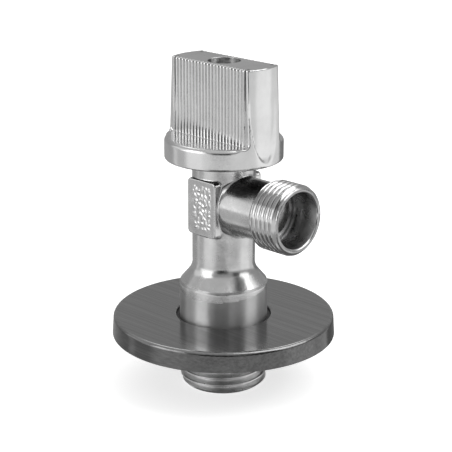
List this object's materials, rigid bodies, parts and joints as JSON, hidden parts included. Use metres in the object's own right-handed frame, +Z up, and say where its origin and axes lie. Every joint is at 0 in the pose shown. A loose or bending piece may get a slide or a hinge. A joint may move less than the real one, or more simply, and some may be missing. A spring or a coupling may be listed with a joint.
{
  "type": "angle stop valve",
  "caption": "Quarter-turn angle valve: plated body with a male inlet below and a male outlet at right angles, ribbed slab handle, round sliding wall escutcheon.",
  "frame": {"origin": "centre of the inlet's end face, which is the lowest point of the part", "axes": "+Z up the stem axis from the inlet to the handle, +X out along the outlet, wrench flats face -Y and +Y"},
  "size_m": [0.0542, 0.0542, 0.0798],
  "materials": {
    "plated_body": "nickel-chrome plate over forged and turned brass, satin where forged, bright where turned",
    "plated_handle": "bright chrome plate over die-cast zinc",
    "escutcheon_steel": "satin pressed stainless steel with a light turning grain",
    "plated_ball": "polished chrome plate over brass",
    "ptfe": "white PTFE",
    "rubber": "black nitrile rubber",
    "brass_parts": "turned brass",
    "screw_steel": "zinc-plated steel"
  },
  "bodies": {
    "body": {"valve_body": "plated_body", "outlet_seat": "ptfe", "rear_seat": "ptfe", "seat_retainer": "brass_parts", "retainer_o_ring": "rubber", "lower_thrust_washer": "ptfe", "upper_thrust_washer": "ptfe", "gland_nut": "brass_parts"},
    "handle_assembly": {"handle": "plated_handle", "handle_screw": "screw_steel", "screw_spring_washer": "screw_steel", "stem": "brass_parts", "stem_o_ring_lower": "rubber", "stem_o_ring_upper": "rubber"},
    "ball": {"ball": "plated_ball"},
    "grip_ring": {"escutcheon_grip_ring": "rubber"},
    "escutcheon": {"escutcheon": "escutcheon_steel"}
  },
  "joints": [
    {"name": "handle_turn", "type": "hinge", "parent": "body", "child": "handle_assembly", "pos_m": [0, 0, 0.06], "axis": [0, 0, 1], "range_deg": [-90, 0]},
    {"name": "ball_turn", "type": "hinge", "parent": "body", "child": "ball", "pos_m": [0, 0, 0.046], "axis": [0, 0, 1], "range_deg": [-90, 0]},
    {"name": "escutcheon_slide", "type": "slide", "parent": "body", "child": "grip_ring", "axis": [0, 0, 1], "range_m": [-0.013, 0.019]},
    {"name": "escutcheon_spin", "type": "hinge", "parent": "grip_ring", "child": "escutcheon", "pos_m": [0, 0, 0.016], "axis": [0, 0, 1], "continuous": true}
  ],
  "couplings": [
    {"joint": "ball_turn", "follows": "handle_turn", "ratio": 1}
  ]
}
